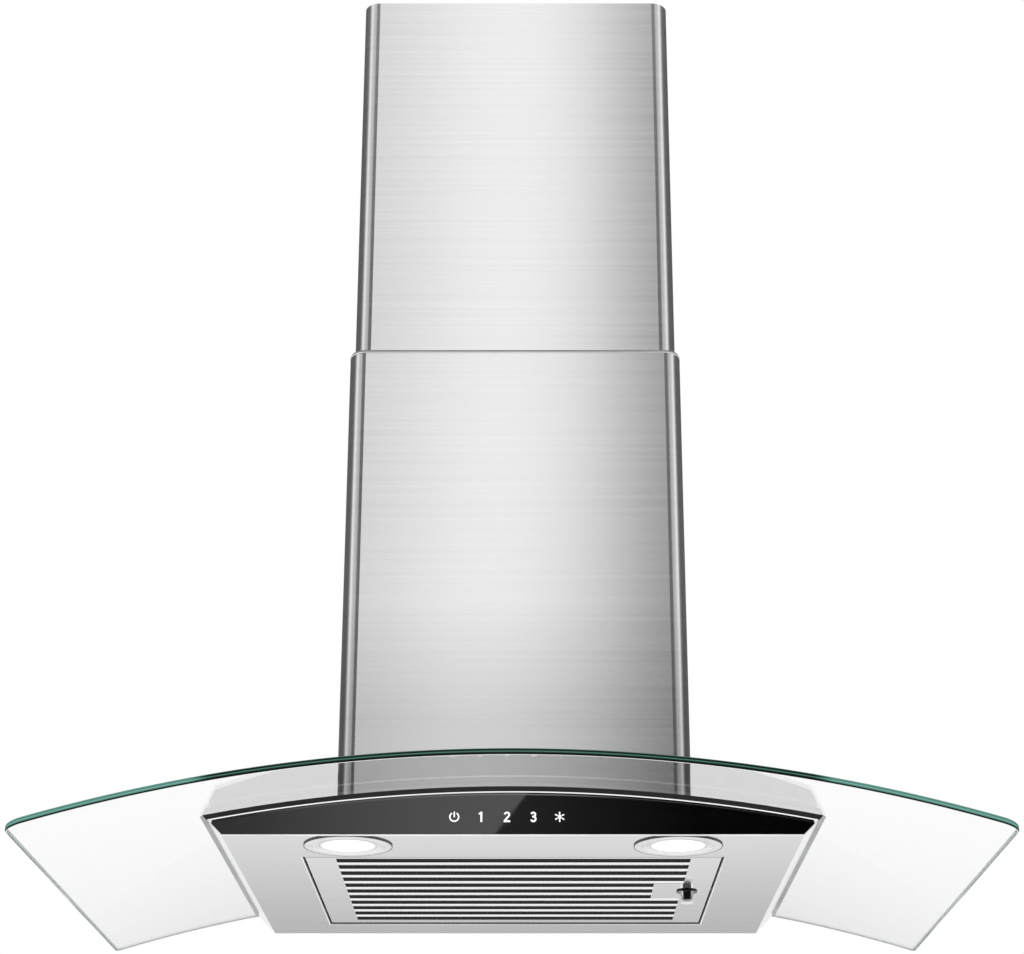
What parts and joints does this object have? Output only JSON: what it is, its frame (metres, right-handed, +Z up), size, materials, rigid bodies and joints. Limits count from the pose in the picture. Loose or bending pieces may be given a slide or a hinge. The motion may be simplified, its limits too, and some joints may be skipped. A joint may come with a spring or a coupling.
{
  "type": "wall mount range hood",
  "caption": "Wall mount range hood: arched clear glass canopy, telescopic steel chimney, black touch panel, round lamps, latched slotted grease filter, fan and backdraught damper.",
  "frame": {"origin": "on the wall, at the centre of the four wall holes, 220 mm above the body's underside", "axes": "+X to the right seen from the room, +Y into the wall, +Z up"},
  "size_m": [0.75, 0.502, 0.8669],
  "materials": {
    "clear_glass": "clear float glass with a green edge",
    "brushed_steel": "brushed stainless steel, grain across",
    "zinc_sheet": "galvanised sheet steel",
    "black_glass": "black back-printed glass, polished",
    "black_seal": "matt black rubber",
    "grey_seal": "grey soft rubber",
    "bright_trim": "polished steel",
    "fasteners": "plain steel",
    "board": "green circuit board",
    "contacts": "gilt contact",
    "light_plastic": "natural white plastic",
    "black_plastic": "black moulded plastic",
    "grey_plastic": "grey moulded plastic",
    "aluminium": "plain aluminium",
    "motor_paint": "dark grey paint",
    "shaft_steel": "ground steel",
    "knob_chrome": "polished chrome",
    "lamp_lens": "frosted glass"
  },
  "bodies": {
    "hood": {"canopy_glass": "clear_glass", "glass_gasket": "grey_seal", "glass_sleeves": "light_plastic", "glass_screws": "fasteners", "body_shell": "brushed_steel", "top_plate": "zinc_sheet", "front_panel": "black_glass", "panel_trim": "bright_trim", "front_seal": "black_seal", "touch_board": "board", "touch_pads": "contacts", "lower_chimney": "brushed_steel", "chimney_clips": "zinc_sheet", "chimney_screws": "fasteners", "chimney_glides": "light_plastic", "blower_box": "zinc_sheet", "box_lid": "zinc_sheet", "box_screws": "fasteners", "wall_plate": "zinc_sheet", "outlet_collar": "black_plastic", "damper_pin": "shaft_steel", "scroll_wrapper": "zinc_sheet", "scroll_motor_side": "zinc_sheet", "scroll_inlet_side": "zinc_sheet", "motor_housing": "motor_paint", "motor_mounts": "black_seal", "control_box": "black_plastic", "control_cover": "black_plastic", "capacitor": "grey_plastic", "capacitor_clip": "zinc_sheet", "cable_grommet": "black_seal", "lamp_bezel_left": "bright_trim", "lamp_lens_left": "lamp_lens", "lamp_body_left": "aluminium", "lamp_clips_left": "fasteners", "lamp_bezel_right": "bright_trim", "lamp_lens_right": "lamp_lens", "lamp_body_right": "aluminium", "lamp_clips_right": "fasteners"},
    "upper_flue": {"upper_chimney": "brushed_steel", "chimney_bracket": "zinc_sheet", "bracket_screws": "fasteners"},
    "filter": {"filter_face": "brushed_steel", "filter_mesh": "aluminium", "filter_back": "aluminium", "filter_hooks": "brushed_steel", "latch_guide": "zinc_sheet", "latch_spring": "shaft_steel"},
    "latch": {"latch_bolt": "grey_plastic", "latch_knob": "knob_chrome"},
    "impeller": {"impeller": "aluminium", "motor_shaft": "shaft_steel"},
    "flap_front": {"damper_flap_front": "black_plastic"},
    "flap_rear": {"damper_flap_rear": "black_plastic"}
  },
  "joints": [
    {"name": "chimney_slide", "type": "slide", "parent": "hood", "child": "upper_flue", "axis": [0, 0, 1], "range_m": [-0.3, 0.03]},
    {"name": "filter_swing", "type": "hinge", "parent": "hood", "child": "filter", "pos_m": [-0.1685, -0.1893, -0.22], "axis": [0, 1, 0], "range_deg": [0, 65]},
    {"name": "latch_slide", "type": "slide", "parent": "filter", "child": "latch", "axis": [-1, 0, 0], "range_m": [0, 0.006], "stiffness_N_per_m": 200, "springref_m": -0.01, "deforming": ["latch_spring"]},
    {"name": "impeller_spin", "type": "hinge", "parent": "hood", "child": "impeller", "pos_m": [0, -0.136, -0.055], "axis": [1, 0, 0], "continuous": true},
    {"name": "flap_rear_swing", "type": "hinge", "parent": "hood", "child": "flap_rear", "pos_m": [0, -0.08, 0.125], "axis": [1, 0, 0], "range_deg": [0, 75]},
    {"name": "flap_front_swing", "type": "hinge", "parent": "hood", "child": "flap_front", "pos_m": [0, -0.08, 0.125], "axis": [-1, 0, 0], "range_deg": [0, 75]}
  ]
}
